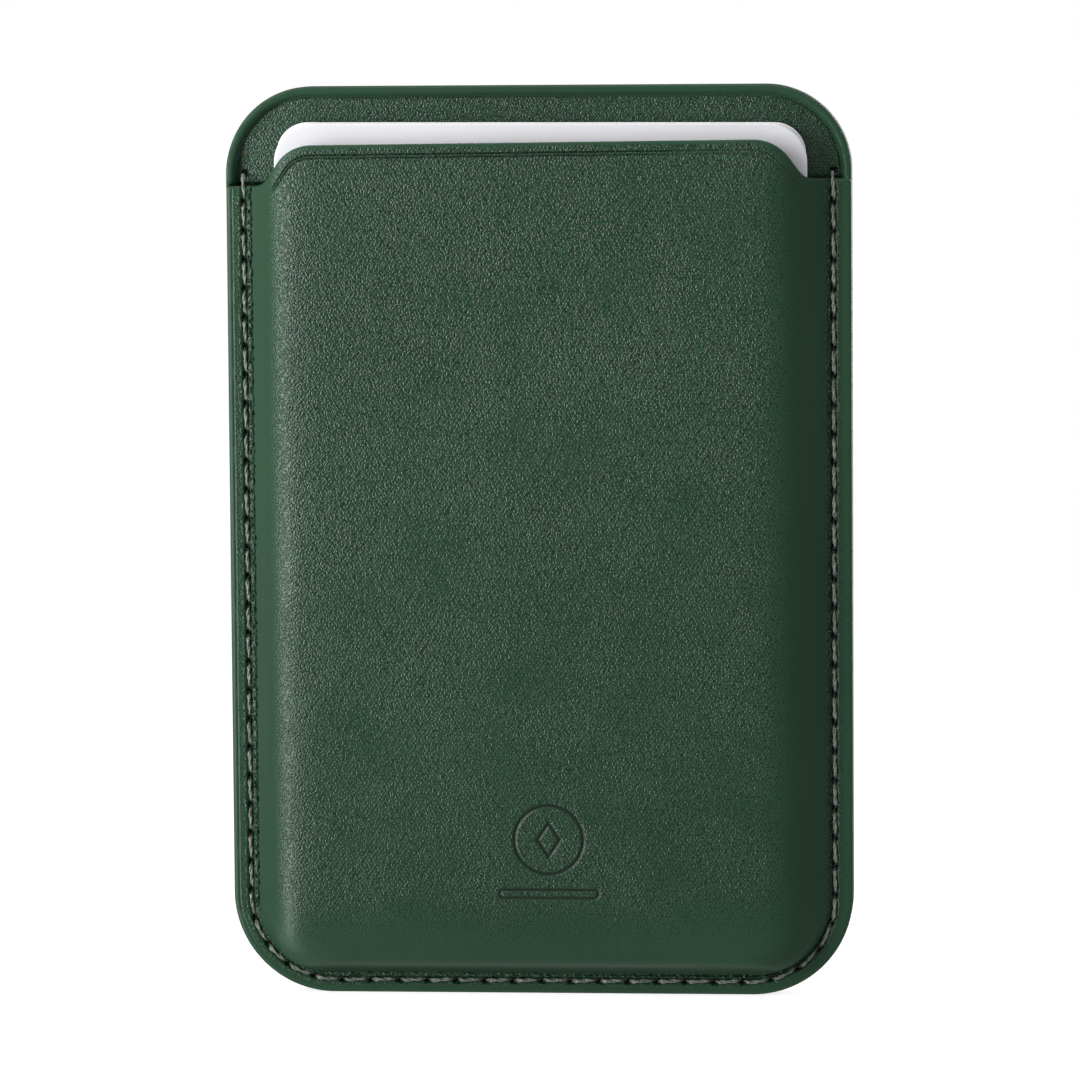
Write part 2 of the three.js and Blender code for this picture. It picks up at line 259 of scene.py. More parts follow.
def pocket_inset(x, y):
    """The inset of the pocket cross-section that passes through a point."""
    low = np.zeros_like(x)
    high = np.full_like(x, HALF_WIDTH)
    for _ in range(HALVINGS):
        middle = (low + high) / 2
        half = HALF_WIDTH - middle
        radius = np.minimum(pocket_corner(middle), half)
        inside = rounded_inset(x, y, half, pocket_bottom(middle), OPEN_TOP, radius, radius) > 0
        low = np.where(inside, middle, low)
        high = np.where(inside, high, middle)
    return (low + high) / 2


def turn_mouth(points):
    """Leans the mouth's edge a little, higher on the right."""
    cos, sin = math.cos(MOUTH_TILT), math.sin(MOUTH_TILT)
    x = points[:, 0]
    y = points[:, 1] - NOTCH_Y
    return np.stack([x * cos - y * sin + MOUTH_SHIFT, x * sin + y * cos + NOTCH_Y], 1)


def mouth_edge(spacing):
    """The mouth's edge from left to right: notch, S, straight, S, notch."""
    radii = MOUTH_FILLET + MOUTH_CORNER
    sin, cos = math.sin(MOUTH_SLOPE), math.cos(MOUTH_SLOPE)
    climb = (MOUTH_Y - NOTCH_Y - radii * (1 - cos)) / sin
    foot = -HALF_WIDTH + NOTCH_INSET
    crest = foot + radii * sin + climb * cos
    climb_start = (foot + MOUTH_FILLET * sin, NOTCH_Y + MOUTH_FILLET * (1 - cos))
    climb_end = (crest - MOUTH_CORNER * sin, MOUTH_Y - MOUTH_CORNER * (1 - cos))
    half = np.concatenate([
        line((-HALF_WIDTH - 3, NOTCH_Y), (foot, NOTCH_Y), spacing),
        arc(foot, NOTCH_Y + MOUTH_FILLET, MOUTH_FILLET, -QUARTER, -QUARTER + MOUTH_SLOPE, spacing / 2),
        line(climb_start, climb_end, spacing),
        arc(crest, MOUTH_Y - MOUTH_CORNER, MOUTH_CORNER, QUARTER + MOUTH_SLOPE, QUARTER, spacing / 2),
        line((crest, MOUTH_Y), (0, MOUTH_Y), spacing),
    ])
    return turn_mouth(np.concatenate([half, [(0, MOUTH_Y)], half[::-1] * (-1, 1)]))


MOUTH = mouth_edge(0.3)
MOUTH_FINE = mouth_edge(0.1)


def mouth_drop(x, y):
    """How far a point lies below the mouth's edge, negative above; it levels off at 4 mm."""
    far = 4.0
    level = np.interp(x, *MOUTH_FINE.T)
    drop = np.clip(level - y, -far, far)
    near = np.flatnonzero(np.abs(level - y) < far)
    for chunk in np.array_split(near, max(1, len(near) // 4000)):
        gap = np.hypot(x[chunk, None] - MOUTH_FINE[:, 0], y[chunk, None] - MOUTH_FINE[:, 1]).min(1)
        drop[chunk] = np.sign(drop[chunk]) * np.minimum(gap, far)
    return drop


def seam_point(along):
    """Point and inward normal of the seam at a length along it, from the left end."""
    half = SEAM_DROP + SEAM_TURN + SEAM_ACROSS
    mirror = np.where(along < half, -1.0, 1.0)
    run = np.where(along < half, along, 2 * half - along)
    angle = np.clip((run - SEAM_DROP) / SEAM_CORNER, 0, QUARTER)
    x = SEAM_ACROSS + SEAM_CORNER * np.cos(angle) - np.maximum(run - SEAM_DROP - SEAM_TURN, 0)
    y = SEAM_LOW + SEAM_CORNER * (1 - np.sin(angle)) + np.maximum(SEAM_DROP - run, 0)
    normal = np.stack([-mirror * np.cos(angle), np.sin(angle)], -1)
    return np.stack([mirror * x, y], -1), normal


def seam_place(x, y):
    """Length along the seam of the nearest point, and the offset inwards from it."""
    offset = rounded_inset(x, y, SEAM_HALF, SEAM_LOW, OPEN_TOP, SEAM_CORNER, SEAM_CORNER)
    centre = SEAM_LOW + SEAM_CORNER
    angle = np.clip(np.arctan2(centre - y, np.abs(x) - SEAM_ACROSS), 0, QUARTER)
    run = np.where(y > centre, SEAM_TOP - y, SEAM_DROP + SEAM_CORNER * angle)
    beneath = (np.abs(x) < SEAM_ACROSS) & (y <= centre)
    run = np.where(beneath, SEAM_DROP + SEAM_TURN + SEAM_ACROSS - np.abs(x), run)
    return np.where(x < 0, run, SEAM_LENGTH - run), offset


def between_ends(along):
    """1 along the seam, falling smoothly to 0 past either end."""
    return smooth(SEAM_LENGTH / 2 - np.abs(along - SEAM_LENGTH / 2), -0.4, 0.4)


def smooth(value, low, high):
    """0 below low, 1 above high, and a smooth step between."""
    share = np.clip((value - low) / (high - low), 0, 1)
    return share * share * (3 - 2 * share)


def bump_at(value, centre, width):
    """1 at the centre, falling off smoothly to either side."""
    return np.exp(-((value - centre) / width) ** 2)


def ripple(x, y, pitch, seed):
    """A smooth random surface between about -1 and 1, with features of the given pitch."""
    source = np.random.default_rng(seed)
    total = np.zeros_like(x)
    waves = 14
    for _ in range(waves):
        angle = source.uniform(0, math.pi)
        size = 2 * math.pi / (pitch * source.uniform(0.7, 1.6))
        total += np.sin((x * math.cos(angle) + y * math.sin(angle)) * size + source.uniform(0, 6.28))
    return total / math.sqrt(waves)


# ---- meshes --------------------

def place(points, height):
    """Bench points and heights, in millimetres, as positions in metres in the row's frame."""
    return np.stack([points[:, 0], -height, points[:, 1]], 1) * MM


def add_object(name, data):
    added = bpy.data.objects.new(name, data)
    bpy.context.scene.collection.objects.link(added)
    return added


def make_object(name, vertices, faces, material_index=None, materials=(), attributes=None, sharp=40):
    """A smooth-shaded mesh object with per-vertex float attributes."""
    mesh = bpy.data.meshes.new(name)
    mesh.from_pydata(np.asarray(vertices).tolist(), [], [tuple(face) for face in faces])
    for material in materials:
        mesh.materials.append(material)
    if material_index is not None:
        mesh.polygons.foreach_set("material_index", np.asarray(material_index, np.int32))
    for key, values in (attributes or {}).items():
        layer = mesh.attributes.new(key, "FLOAT", "POINT")
        layer.data.foreach_set("value", np.asarray(values, np.float32))
    mesh.polygons.foreach_set("use_smooth", np.ones(len(mesh.polygons), bool))
    mesh.set_sharp_from_angle(angle=math.radians(sharp))
    mesh.update()
    return add_object(name, mesh)


def thin_out(points, cell):
    """Drops points that share a cell of the given size with an earlier one."""
    keys = np.round(points / cell).astype(np.int64)
    _, first = np.unique(keys, axis=0, return_index=True)
    return points[np.sort(first)]


def inside_loops(points, loops):
    """Whether points lie inside an odd number of closed loops."""
    inside = np.zeros(len(points), bool)
    for loop in loops:
        nxt = np.roll(loop, -1, axis=0)
        for (x0, y0), (x1, y1) in zip(loop, nxt):
            if y0 == y1:
                continue
            crosses = (points[:, 1] > min(y0, y1)) & (points[:, 1] <= max(y0, y1))
            at = x0 + (points[:, 1] - y0) * (x1 - x0) / (y1 - y0)
            inside ^= crosses & (points[:, 0] < at)
    return inside


def triangulate(loops, inner):
    """Triangles over the area between the loops, through all the inner points."""
    border = np.concatenate(loops)
    points = np.concatenate([border, inner])
    edges = []
    start = 0
    for loop in loops:
        count = len(loop)
        edges += [(start + step, start + (step + 1) % count) for step in range(count)]
        start += count
    found, _, faces, origin, _, _ = delaunay_2d_cdt([Vector(p) for p in points.tolist()], edges, [], 0, 1e-6)
    found = np.array([tuple(p) for p in found])
    order = np.full(len(points), -1)
    for new, old in enumerate(origin):
        for index in old:
            order[index] = new
    faces = np.array(faces)
    centres = found[faces].mean(1)
    faces = faces[inside_loops(centres, loops)]
    return found, faces, order[:len(border)]


WALL_ROWS = 3


def shell(name, loops, front_points, back_points, front, back, materials, attributes=None):
    """
    A closed sheet: a front and a back surface over the same outline, joined round every loop.
    front(x, y) and back(x, y) give heights; attributes(x, y) gives the front's named values.
    """
    face_points, face_faces, face_rim = triangulate(loops, front_points)
    rear_points, rear_faces, rear_rim = triangulate(loops, back_points)
    face_height = front(*face_points.T)
    rear_height = back(*rear_points.T)
    vertices = [place(face_points, face_height), place(rear_points, rear_height)]
    faces = [face_faces, rear_faces[:, ::-1] + len(face_points)]
    slots = [np.zeros(len(face_faces), int), np.ones(len(rear_faces), int)]
    count = len(face_points) + len(rear_points)
    values = attributes(*face_points.T) if attributes else {}
    values = {key: [value, np.zeros(len(rear_points))] for key, value in values.items()}
    walls = []
    start = 0
    for loop in loops:
        size = len(loop)
        upper = face_rim[start:start + size]
        lower = rear_rim[start:start + size] + len(face_points)
        rows = [upper]
        for row in range(1, WALL_ROWS):
            share = row / WALL_ROWS
            height = face_height[upper] * (1 - share) + rear_height[lower - len(face_points)] * share
            vertices.append(place(face_points[upper], height))
            rows.append(np.arange(count, count + size))
            count += size
            for key in values:
                values[key].append(np.zeros(size))
        rows.append(lower)
        for above, below in zip(rows, rows[1:]):
            walls += zip(above, below, np.roll(below, -1), np.roll(above, -1))
        start += size
    all_faces = [tuple(f) for part in faces for f in part.tolist()] + walls
    slots.append(np.full(len(walls), 2))
    values = {key: np.concatenate(parts) for key, parts in values.items()}
    return make_object(name, np.concatenate(vertices), all_faces, np.concatenate(slots), materials, values)


def level(height):
    """A surface of one height everywhere."""
    return lambda x, y: np.full_like(x, height)


def rings(loop_of, insets, spacing):
    """Points of a family of loops, each at its own inset."""
    return np.concatenate([loop_of(inset, spacing) for inset in insets])


def grid(low, high, spacing):
    """A square grid of points, every other row shifted by half a step."""
    rows = int((high[1] - low[1]) / spacing) + 1
    columns = int((high[0] - low[0]) / spacing) + 1
    x, y = np.meshgrid(low[0] + spacing * np.arange(columns), low[1] + spacing * np.arange(rows))
    x = x + (np.arange(rows)[:, None] % 2) * spacing / 2
    return np.stack([x.ravel(), y.ravel()], 1)


def whole_grid(spacing):
    """A grid over the whole holder."""
    return grid((-HALF_WIDTH, BOTTOM), (HALF_WIDTH, TOP), spacing)


def rounding(distance, radius):
    """How far a rounded edge falls away at a distance from it."""
    share = np.clip(distance / radius, 0, 1)
    return radius * (1 - np.sqrt(1 - (1 - share) ** 2))


EDGE_STEPS = [0.01, 0.03, 0.07, 0.12, 0.18, 0.26, 0.36]


# ---- heights of the surfaces --------------------

def wall_angle(inset):
    """Slope of the moulded pocket: a short foot, a straight wall and a long soft shoulder."""
    beyond = np.maximum(inset - SHOULDER_INSET, 0) / SHOULDER_WIDTH
    return WALL_ANGLE * smooth(inset, FOOT_INSET, FOOT_INSET + FOOT_WIDTH) / (1 + beyond ** 2.7)


PROFILE_STEP = 0.02
PROFILE_INSETS = np.arange(0, HALF_WIDTH, PROFILE_STEP)
PROFILE_HEIGHTS = FLANGE + np.cumsum(np.tan(wall_angle(PROFILE_INSETS))) * PROFILE_STEP


def moulded(inset):
    """Height of the moulded front at a pocket inset."""
    return np.interp(inset, PROFILE_INSETS, PROFILE_HEIGHTS)


def hole_depth(along, offset):
    """The needle holes: 1 in the middle of a hole, 0 away from it."""
    phase = (along / PITCH + 0.5) % 1 - 0.5
    gap = np.hypot(phase * PITCH / HOLE_HALF_LENGTH, offset / HOLE_HALF_WIDTH)
    return 1 - smooth(gap, 0.55, 1.15)


def rim_width(x):
    """The smooth outer rim, wider on the right."""
    return 0.55 + 0.3 * smooth(x, -20, 28)


def row_of_puckers(along, offset, centre, width, seed):
    """A ragged row of little gathers beside the thread."""
    drift = 0.05 * ripple(along, 0 * along, 1.6, seed)
    size = 0.5 + 0.85 * ripple(along, offset * 0.8, 0.5, seed + 1)
    return bump_at(offset + drift, centre, width) * np.clip(size, 0, 1.7)


def seam_relief(x, y):
    """What the seam does to the surface round it: a channel, puckers and holes."""
    along, offset = seam_place(x, y)
    channel = CHANNEL_DEPTH * np.exp(-(offset / CHANNEL_HALF_WIDTH) ** 4)
    swell = 0.13 * smooth(offset, 0.3, 0.55) * (1 - smooth(offset, 0.9, 2.4))
    puckers = sum(
        height * row_of_puckers(along, offset, centre, width, seed)
        for height, centre, width, seed in PUCKER_ROWS
    )
    return (swell + puckers - channel - HOLE_DEPTH * hole_depth(along, offset)) * between_ends(along)


def mark_depth(x, y):
    """A plain pressed ornament: a ring with a small diamond in it, over a short bar."""
    dx = x - MARK_CENTRE[0]
    dy = y - MARK_CENTRE[1]
    ring = np.abs(np.hypot(dx, dy) - MARK_RADIUS)
    diamond = np.abs(np.abs(dx) / MARK_DIAMOND[0] + np.abs(dy) / MARK_DIAMOND[1] - 1) * 0.95
    bar_x = np.maximum(np.abs(dx) - MARK_BAR_HALF, 0)
    bar = np.abs(np.hypot(bar_x, dy + MARK_BAR_DROP) - MARK_BAR_RADIUS)
    line_gap = np.minimum(np.minimum(ring, diamond), bar + 0.03)
    return 1 - smooth(line_gap, 0.08, 0.26)


def crease_depth(drop, x):
    """Two fine creases along the mouth, with a ridge between them, that die away at the notches."""
    fade = smooth(HALF_WIDTH - np.abs(x), NOTCH_INSET + 0.6, NOTCH_INSET + 2.2)
    fade = fade * (1 - 0.6 * smooth(x, 8, 24))
    return fade * sum(depth * bump_at(drop, at, width) for at, depth, width in CREASES)


def foot_groove(inset, x):
    """The sharp fold at the pocket's foot, on the right only, where front_values also darkens it as painted
    shade.
    """
    return bump_at(inset, FOOT_INSET - 0.15, 0.26) * smooth(x, -10, 20)


def front_height(x, y):
    """Height of the moulded front's face."""
    inset = pocket_inset(x, y)
    edge = outline_inset(x, y)
    drop = mouth_drop(x, y)
    height = moulded(inset)
    rim = rim_width(x)
    side = smooth(np.abs(x), HALF_WIDTH - 6, HALF_WIDTH - 3) * 0.7 + 0.3
    left = 1 - smooth(x, -10, 20)
    height -= 0.14 * side * left * np.clip(1 - edge / rim, 0, 1) ** 1.2
    height -= 0.06 * bump_at(edge, rim + 0.05, 0.07) * side * left
    height += seam_relief(x, y)
    height -= 0.16 * foot_groove(inset, x)
    height -= crease_depth(drop, x)
    height -= MARK_DEPTH * mark_depth(x, y)
    height -= rounding(edge, EDGE_ROUNDING)
    height -= rounding(np.maximum(drop, 0), MOUTH_ROUNDING)
    return height


def front_back_height(x, y):
    """The inner side of the moulded leather, which is stretched thinner over the cards' edges."""
    inset = pocket_inset(x, y)
    outside = smooth(inset, CARD_INSET - 1.3, CARD_INSET - 0.55)
    stretched = outside * (1 - smooth(inset, CARD_INSET + 0.3, CARD_INSET + 1.2))
    height = moulded(inset) - LEATHER + 0.45 * stretched
    return np.where(inset < FOOT_INSET, FRONT_BACK, np.maximum(height, FRONT_BACK))


def front_values(x, y):
    """How strong the grain is, how dark the colour is, from pressed marks and from painted shade in the
    holes and the foot fold, and how dull it is, from 0 to 1.
    """
    inset = pocket_inset(x, y)
    edge = outline_inset(x, y)
    drop = mouth_drop(x, y)
    grain = smooth(edge, rim_width(x), rim_width(x) + 0.25)
    right = smooth(x, 10, 26)
    wall = smooth(inset, 2.35, 2.7) * (1 - smooth(inset, 4.0 + 0.8 * right, 5.7 + 3.6 * right))
    low_corner = 1 - smooth(y, BOTTOM + 3.5, BOTTOM + 12)
    grain *= 1 - 0.95 * wall
    grain *= 1 - 0.92 * low_corner * smooth(inset, 2.4, 3)
    grain *= 0.78 + 0.22 * smooth(y, BOTTOM + 15, TOP - 20)
    grain *= 0.6 + 0.4 * smooth(inset, 1.7, 2.0)
    grain *= smooth(drop, 0.24, 0.42)
    grain *= 1 - 0.8 * mark_depth(x, y)
    creases = np.clip(crease_depth(drop, x) / CREASES[0][1], 0, 1)
    along, offset = seam_place(x, y)
    # The pressed mark and creases darken for real; the needle holes are darkened as painted shade
    dark = np.maximum(np.maximum(mark_depth(x, y), creases), hole_depth(along, offset))
    # Painted shade in the fold at the pocket's foot, on the right only
    dark = np.maximum(dark, foot_groove(inset, x))
    return {"grain": grain, "pressed": dark, "dull": wall * (1 - 0.4 * smooth(x, -10, 10))}


def bead_height(y):
    """The rolled bead round the inner panel; it swells to the flange's height at the notches."""
    return (INNER_HIGH[2] - POCKET_BACK) + 0.5 * (1 - smooth(y, NOTCH_Y, NOTCH_Y + 5))


def notch_line(x):
    """Height of the notch's edge at either side; the mouth leans a little."""
    return NOTCH_Y + x * math.sin(MOUTH_TILT)


def notch_crease(x, y):
    """The fold where the front panel's edge presses into the inner panel, darkened as painted shade in
    inner_values.
    """
    strength = smooth(np.abs(x), HALF_WIDTH - 5, HALF_WIDTH - 3.6) * (1 - 0.7 * smooth(x, 0, 20))
    return bump_at(y, notch_line(x) + 0.1, 0.17) * strength


def field_fall(x, y):
    """How the inner panel's field falls away from its middle towards the bead."""
    edge = outline_inset(x, y)
    side = 0.3 + 0.7 * smooth(np.abs(x), HALF_WIDTH - 8, HALF_WIDTH - 4)
    return 0.3 * side * (1 - smooth(edge, 1.2, 4.6))


def end_hole(x, y):
    """The needle hole at either end of the seam, where the thread dives into the inner panel."""
    along, offset = seam_place(x, y)
    end = np.minimum(along, SEAM_LENGTH - along)
    return np.exp(-((end + 0.02) / 0.32) ** 4) * np.exp(-(offset / 0.28) ** 2) * (y > NOTCH_Y - 1)


def inner_height(x, y):
    """Height of the inner panel's face, with its bead and the groove inside it."""
    edge = outline_inset(x, y)
    above = smooth(y, notch_line(x) - 0.6, notch_line(x))
    bead = bead_height(y) * (1 - smooth(edge, 0.55, 1.05)) * above
    groove = 0.07 * bump_at(edge, 1.12, 0.14) * above
    groove += field_fall(x, y) * above * smooth(edge, 0.75, 1.1)
    groove += 0.4 * notch_crease(x, y) * smooth(edge, 0.3, 0.6)
    return POCKET_BACK + bead - groove - 0.5 * end_hole(x, y) - rounding(edge, EDGE_ROUNDING) * above


def inner_values(x, y):
    edge = outline_inset(x, y)
    # Painted shade in the groove inside the bead, stronger on the left
    groove = bump_at(edge, 1.14, 0.12) * (0.8 - 0.5 * smooth(x, -20, 25))
    # Painted shade in the fold along the notch
    dark = np.maximum(groove, notch_crease(x, y) * smooth(edge, 0.3, 0.6))
    # Painted shade in the needle holes at the seam's ends
    dark = np.maximum(dark, end_hole(x, y))
    return {"grain": smooth(edge, 1.0, 1.3), "pressed": dark}


def slot_distance(x, y):
    """Distance outwards from the thumb slot's edge."""
    return np.hypot(np.maximum(np.abs(x) - SLOT_HALF + SLOT_RADIUS, 0), y - SLOT_Y) - SLOT_RADIUS


def ring_print(x, y):
    """The magnet ring and the bar magnet showing faintly through the skin: 1 over their edges."""
    radius = np.hypot(x, y)
    ring = np.maximum(*(bump_at(radius, centre, PRINT_WIDTH) for centre in PRINT_RADII))
    bar = np.maximum(np.abs(x) - PRINT_BAR_HALF[0], np.abs(y - PRINT_BAR_Y) - PRINT_BAR_HALF[1])
    return np.maximum(ring, bump_at(bar, 0, PRINT_WIDTH))


def back_height(x, y):
    """Depth of the back cover's outer face; it never stands proud of the flat."""
    edge = outline_inset(x, y)
    along, offset = seam_place(x, y)
    channel = 0.42 * np.exp(-(offset / 0.42) ** 4) + 0.2 * hole_depth(along, offset)
    depth = rounding(edge, 0.35) + channel * between_ends(along)
    depth += rounding(np.maximum(slot_distance(x, y), 0), 0.3)
    return depth + 0.05 * ring_print(x, y)


def back_values(x, y):
    edge = outline_inset(x, y)
    return {"grain": smooth(edge, 0.3, 0.6), "pressed": 0.6 * ring_print(x, y)}


# ---- materials --------------------

class Tree:
    """A short way to write a node tree."""

    def __init__(self, tree):
        self.tree = tree

    def add(self, kind, inputs=None, **settings):
        node = self.tree.nodes.new(kind)
        for key, value in settings.items():
            setattr(node, key, value)
        for key, value in (inputs or {}).items():
            self.put(node.inputs[key], value)
        return node

    def put(self, socket, value):
        if isinstance(value, bpy.types.NodeSocket):
            self.tree.links.new(value, socket)
        else:
            socket.default_value = value


class Nodes(Tree):
    """A new material's node tree, with the nodes that materials use most."""

    def __init__(self, name):
        self.material = bpy.data.materials.new(name)
        self.material.use_nodes = True
        super().__init__(self.material.node_tree)
        self.shader = self.tree.nodes["Principled BSDF"]
        self.where = self.add("ShaderNodeTexCoord").outputs["Object"]

    def finish(self, **values):
        """Sets the shader's own sockets; an underscore in a name stands for a space."""
        for key, value in values.items():
            self.put(self.shader.inputs[key.replace("_", " ")], value)
        return self.material

    def stretched(self, scale):
        return self.add("ShaderNodeMapping", {"Vector": self.where, "Scale": scale}).outputs["Vector"]

    def noise(self, scale, detail=2.0, vector=None, roughness=0.5):
        return self.add("ShaderNodeTexNoise", {
            "Vector": vector or self.where, "Scale": scale, "Detail": detail, "Roughness": roughness,
        }).outputs["Fac"]

    def math(self, operation, a, b=0.0, clamp=False):
        return self.add("ShaderNodeMath", {0: a, 1: b}, operation=operation, use_clamp=clamp).outputs[0]

    def plus(self, a, b):
        return self.math("ADD", a, b)

    def times(self, a, b, clamp=False):
        return self.math("MULTIPLY", a, b, clamp)

    def spread(self, value, low, high, out_low=0.0, out_high=1.0):
        return self.add("ShaderNodeMapRange", {
            "Value": value, "From Min": low, "From Max": high, "To Min": out_low, "To Max": out_high,
        }).outputs["Result"]

    def vary(self, noise, low, high):
        """A noise's usual span turned into a range."""
        return self.spread(noise, 0.3, 0.7, low, high)

    def blend(self, factor, a, b, mode="MIX"):
        return self.add("ShaderNodeMix", {
            "Factor": factor, "A": a, "B": b,
        }, data_type="RGBA", blend_type=mode).outputs["Result"]

    def tones(self, noise, low, high, reach=0.15):
        """Two colours that follow a noise, to either side of its middle."""
        return self.blend(self.spread(noise, 0.5 - reach, 0.5 + reach), low, high)

    def attribute(self, name):
        return self.add("ShaderNodeAttribute", attribute_name=name).outputs["Fac"]

    def bump(self, height, distance, normal=None):
        node = self.add("ShaderNodeBump", {"Height": height, "Distance": distance, "Strength": 1.0})
        if normal is not None:
            self.put(node.inputs["Normal"], normal)
        return node.outputs["Normal"]


def rgb(red, green, blue):
    return (red, green, blue, 1.0)


WHITE = rgb(1, 1, 1)
# Darker green for pressed marks and creases, and for painted shade in holes, grooves and folds
LEATHER_PRESSED_AND_SHADE = rgb(0.0060, 0.0170, 0.0095)
LEATHER_DARK = rgb(0.0055, 0.0205, 0.0102)
LEATHER_MAIN = rgb(0.0185, 0.0560, 0.0295)
# Lighter green for worn ridges, and for painted highlight on ridges and smooth parts
LEATHER_WORN_AND_HIGHLIGHT = rgb(0.0300, 0.0860, 0.0460)
EDGE_PAINT = rgb(0.0215, 0.0580, 0.0310)

GRAIN_SCALE = 920
GRAIN_TURNS = (28, 88, -34)
GRAIN_WANDER = 5.2
PORE_SCALE = 9000


def grain_height(nodes, scale=1.0):
    """Fine pressed grain: three sets of wavy ridges about 0.35 mm apart that cross and break up."""
    total = 0.0
    for turn in GRAIN_TURNS:
        turned = nodes.add("ShaderNodeMapping", {
            "Vector": nodes.where, "Rotation": (0, math.radians(turn), 0), "Location": (0.01 * turn, 0, 0),
        }).outputs["Vector"]
        ridges = nodes.add("ShaderNodeTexWave", {
            "Vector": turned, "Scale": GRAIN_SCALE * scale, "Distortion": GRAIN_WANDER,
            "Detail": 0.0, "Detail Scale": 2.6,
        }, wave_type="BANDS", bands_direction="X", wave_profile="SIN").outputs["Fac"]
        total = nodes.plus(nodes.times(ridges, 1 / len(GRAIN_TURNS)), total)
    return total


def leather_material(name, shade=1.0, grain_scale=1.0, relief=0.000088, roughness=0.26):
    """Coated leather: pressed grain where the mesh says so, darker in its valleys from pigment and painted
    shade, lighter on its ridges from wear and painted highlight, and lighter on its smooth parts as painted
    highlight.
    """
    nodes = Nodes(name)
    grain = nodes.attribute("grain")
    dull = nodes.attribute("dull")
    strength = nodes.times(grain, nodes.vary(nodes.noise(130), 0.72, 1.08))
    height = grain_height(nodes, grain_scale)
    ridge = nodes.times(nodes.spread(height, 0.5, 0.68), strength, clamp=True)
    valley = nodes.times(nodes.spread(height, 0.5, 0.32), strength, clamp=True)
    smoothed = nodes.math("SUBTRACT", 1.0, grain, clamp=True)
    # Ridges are lighter partly from wear and partly as painted highlight; smooth parts are lighter as
    # painted highlight
    wear_and_highlight = nodes.plus(nodes.times(ridge, 0.9), nodes.times(smoothed, 0.35))
    colour = nodes.blend(wear_and_highlight, LEATHER_MAIN, LEATHER_WORN_AND_HIGHLIGHT)
    # Valleys are darker partly from pigment and partly as painted shade
    colour = nodes.blend(valley, colour, LEATHER_DARK)
    # The pressed mask darkens pressed marks and creases, and paints shade into needle holes, grooves and
    # folds
    colour = nodes.blend(nodes.times(nodes.attribute("pressed"), 0.85), colour, LEATHER_PRESSED_AND_SHADE)
    cloud = nodes.times(nodes.vary(nodes.noise(45, 3.0), 0.93, 1.07), shade)
    cloud = nodes.times(cloud, nodes.spread(dull, 0.0, 1.0, 1.0, 0.82))
    tint = nodes.add("ShaderNodeCombineColor", {0: cloud, 1: cloud, 2: cloud}).outputs[0]
    shine = nodes.vary(nodes.noise(260, 3.0), roughness - 0.04, roughness + 0.05)
    shine = nodes.plus(shine, nodes.times(valley, 0.12))
    shine = nodes.plus(shine, nodes.times(smoothed, 0.2))
    pores = nodes.bump(nodes.times(nodes.noise(PORE_SCALE), 0.4), 0.00001)
    gloss = nodes.plus(nodes.times(grain, 0.13), 0.24)
    return nodes.finish(
        Base_Color=nodes.blend(1.0, colour, tint, "MULTIPLY"),
        Roughness=shine,
        Normal=nodes.bump(nodes.times(height, strength), relief, pores),
        Specular_IOR_Level=nodes.times(gloss, nodes.spread(dull, 0.0, 1.0, 1.0, 0.4)),
    )


def edge_material(name, layers):
    """A cut edge sealed with paint: smooth, a little uneven, with a hint of the layers in it."""
    nodes = Nodes(name)
    streaks = nodes.noise(1.0, 2.0, nodes.stretched((420, layers, 420)))
    lumps = nodes.noise(900)
    return nodes.finish(
        Base_Color=nodes.tones(streaks, LEATHER_DARK, EDGE_PAINT),
        Roughness=nodes.vary(lumps, 0.38, 0.52),
        Normal=nodes.bump(nodes.plus(nodes.times(streaks, 0.5), lumps), 0.00003),
        Specular_IOR_Level=0.4,
    )


def suede_material(name, colour):
    """The brushed inner side of the leather and the microfibre lining."""
    nodes = Nodes(name)
    fluff = nodes.noise(5200, 3.0, roughness=0.7)
    nap = nodes.noise(420, 2.0, nodes.stretched((1.0, 1.0, 0.6)))
    low = rgb(*(part * 0.6 for part in colour))
    high = rgb(*(part * 1.35 for part in colour))
    return nodes.finish(
        Base_Color=nodes.blend(nodes.spread(nodes.plus(fluff, nap), 0.7, 1.3), low, high),
        Roughness=nodes.vary(fluff, 0.85, 0.98),
        Normal=nodes.bump(nodes.plus(fluff, nodes.times(nap, 0.5)), 0.00008),
        Sheen_Weight=0.35, Sheen_Roughness=0.4, Specular_IOR_Level=0.25,
    )


def thread_material(name):
    """Bonded grey-green thread: fine filaments along each ply, uneven dye and a soft shine."""
    nodes = Nodes(name)
    filaments = nodes.noise(5200, 2.0, nodes.stretched((1.0, 1.0, 0.35)))
    colour = nodes.tones(filaments, rgb(0.075, 0.092, 0.075), rgb(0.30, 0.32, 0.285))
    dye = nodes.spread(nodes.noise(380), 0.35, 0.65, 0.0, 0.45)
    return nodes.finish(
        Base_Color=nodes.blend(dye, colour, rgb(0.13, 0.16, 0.13)),
        Roughness=nodes.vary(filaments, 0.34, 0.5),
        Normal=nodes.bump(filaments, 0.00003),
        Specular_IOR_Level=0.5, Sheen_Weight=0.15,
    )


def card_material(name):
    """White card stock with a satin laminate: the faintest cloudiness and print texture."""
    nodes = Nodes(name)
    cloud = nodes.noise(60, 3.0)
    fine = nodes.noise(3800)
    return nodes.finish(
        Base_Color=nodes.tones(cloud, rgb(0.83, 0.83, 0.865), rgb(0.88, 0.88, 0.91), 0.2),
        Roughness=nodes.vary(fine, 0.32, 0.42),
        Normal=nodes.bump(nodes.plus(fine, cloud), 0.000006),
        Coat_Weight=0.12, Coat_Roughness=0.25,
    )


